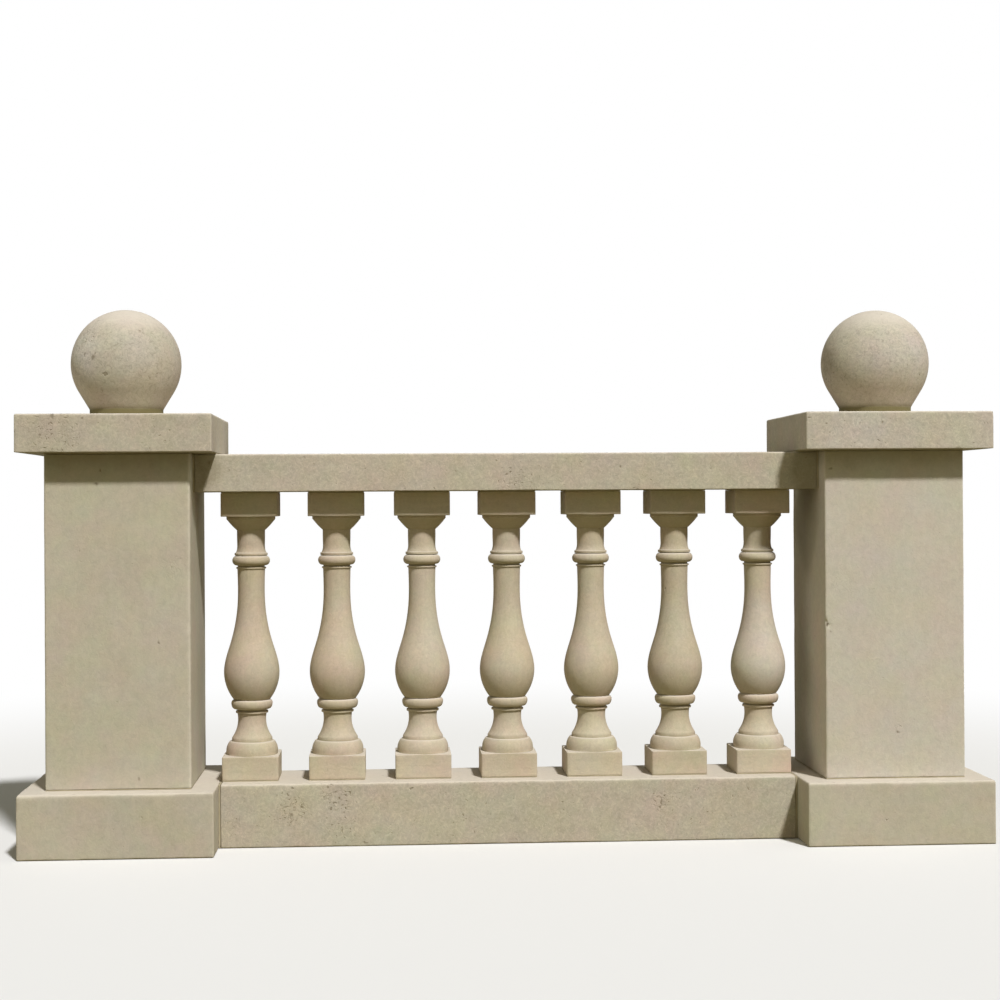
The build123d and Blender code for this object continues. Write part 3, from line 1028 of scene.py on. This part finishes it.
for side, seed, tone in (("left", 301, 0.1), ("right", 302, 0.4)):
    node = side + "_ball"
    low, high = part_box(node)
    radius = (high.x - low.x) / 2
    outline = ballOutline(radius, high.z - low.z - radius, ballFoot * mm, math.radians(ballFlank))
    changes = dict(ballTurning, seed=seed, tone=tone, stains=ballStains[side], chalked=ballSideLight[side])
    turnedStone(node, ballStone, outline, ballAngles, 0, changes)


# Mortar beds and joints keep their CAD shape

mortar = limeMortar(mortarLook)
for node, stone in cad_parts.items():
    if node.endswith(("_bed", "_beds", "_joint")):
        stone.data.materials.clear()
        stone.data.materials.append(mortar)
print("mortar laid")


# Floor, light and camera

stageLook = {
    "floorSide": 60.0,
    "floorSeen": tint(234, 234, 235),      # where it is looked at
    "floorFades": (1.4, 3.6),              # metres from the middle where it starts to whiten and is white
    "floorThrown": tint(138, 130, 90),     # what it throws back on the stone
    "skyThrown": (1.0, 0.94, 0.70, 1.0),
    "skyStrength": 0.15,
}
lamps = {
    "mainLamp": {
        "heading": (-0.42, 1.0, -1.30),    # the way its light goes
        "width": 5.0,                      # degrees
        "strength": 3.40,
        "colour": (1.0, 0.995, 0.985),
    },
    "leftFill": {
        "heading": (0.92, 0.42, -0.12),
        "width": 60.0,
        "strength": 0.46,
        "colour": (0.97, 0.99, 0.88),
    },
    "rightFill": {
        "heading": (-0.98, 0.12, -0.15),
        "width": 60.0,
        "strength": 0.48,
        "colour": (0.96, 1.0, 0.96),
    },
}


def seenRays(bench):
    # 1 for rays from the camera, and for those that a gloss or a glass sends on
    path = {name: bench.add("LightPath", None, None, name)
            for name in ("Is Camera Ray", "Is Glossy Ray", "Is Transmission Ray")}
    total = path["Is Camera Ray"] + path["Is Glossy Ray"] + path["Is Transmission Ray"]
    return bench.add("Clamp", None, {"Value": total})


def layFloor(look):
    # one large level square: pale where it is looked at, turning white far out, and warm where it lights
    # the stone
    half = look["floorSide"] / 2
    corners = [(-half, -half, 0), (half, -half, 0), (half, half, 0), (-half, half, 0)]
    mesh = bpy.data.meshes.new("floor")
    mesh.from_pydata(corners, [], [(0, 1, 2, 3)])
    material = bpy.data.materials.new("paleFloor")
    bench = Bench(material)
    seen = bench.add("BsdfDiffuse", None, {"Color": look["floorSeen"]})
    white = bench.add("Emission", None, {"Color": (1.0, 1.0, 1.0, 1.0)})
    place = bench.add("TexCoord", None, None, "Object")
    away = bench.add("VectorMath", {"operation": "LENGTH"}, {"Vector": place}, "Value")
    fades = {"Fac": ramped(bench, away, *look["floorFades"]), "Shader": seen, "Shader_001": white}
    seen = bench.add("MixShader", None, fades)
    thrown = bench.add("BsdfDiffuse", None, {"Color": look["floorThrown"]})
    shaders = {"Fac": seenRays(bench), "Shader": thrown, "Shader_001": seen}
    bench.add("OutputMaterial", None, {"Surface": bench.add("MixShader", None, shaders)})
    mesh.materials.append(material)
    floor = bpy.data.objects.new("floor", mesh)
    bpy.context.scene.collection.objects.link(floor)


def lightSky(look):
    # white where it is looked at, weak and warm where it lights the stone
    world = bpy.data.worlds.new("studio")
    bpy.context.scene.world = world
    bench = Bench(world)
    seen = bench.add("Background", None, {"Color": (1.0, 1.0, 1.0, 1.0), "Strength": 1.0})
    thrown = bench.add("Background", None, {"Color": look["skyThrown"], "Strength": look["skyStrength"]})
    shaders = {"Fac": seenRays(bench), "Shader": thrown, "Shader_001": seen}
    bench.add("OutputWorld", None, {"Surface": bench.add("MixShader", None, shaders)})


def hangLamp(name, settings):
    # light as from far away, that goes the way of the heading
    lamp = bpy.data.lights.new(name, "SUN")
    lamp.energy = settings["strength"]
    lamp.color = settings["colour"]
    lamp.angle = math.radians(settings["width"])
    holder = bpy.data.objects.new(name, lamp)
    holder.rotation_mode = "QUATERNION"
    holder.rotation_quaternion = Vector(settings["heading"]).to_track_quat("-Z", "Y")
    bpy.context.scene.collection.objects.link(holder)


cameraStand = {
    "place": (-0.258, -3.935, 0.7246),      # metres
    "turnedRight": 3.56,                    # degrees from straight across the bay, as the next two
    "tippedDown": -0.07,
    "rolled": -0.34,
    "lens": 65.2,                           # millimetres, as the frame it stands behind
    "frame": 36,
    "farthest": 100,                        # metres that it sees
}


def standCamera(stand):
    # the three axes of the camera from its heading, its tip and its roll about the line of sight
    heading, tip, roll = (math.radians(stand[name]) for name in ("turnedRight", "tippedDown", "rolled"))
    level = math.cos(tip)
    forward = Vector((math.sin(heading) * level, math.cos(heading) * level, -math.sin(tip)))
    right = Vector((math.cos(heading), -math.sin(heading), 0))
    up = right.cross(forward)
    across = math.cos(roll) * right + math.sin(roll) * up
    upright = math.cos(roll) * up - math.sin(roll) * right
    lens = bpy.data.cameras.new("camera")
    lens.sensor_width = stand["frame"]
    lens.lens = stand["lens"]
    lens.clip_end = stand["farthest"]
    camera = bpy.data.objects.new("camera", lens)
    turn = Matrix((across, upright, -forward)).transposed().to_4x4()
    camera.matrix_world = Matrix.Translation(stand["place"]) @ turn
    bpy.context.scene.collection.objects.link(camera)
    bpy.context.scene.camera = camera


layFloor(stageLook)
lightSky(stageLook)
for name, settings in lamps.items():
    hangLamp(name, settings)
standCamera(cameraStand)
bpy.context.scene.view_settings.view_transform = "Standard"
print("stage, lamps and camera set")
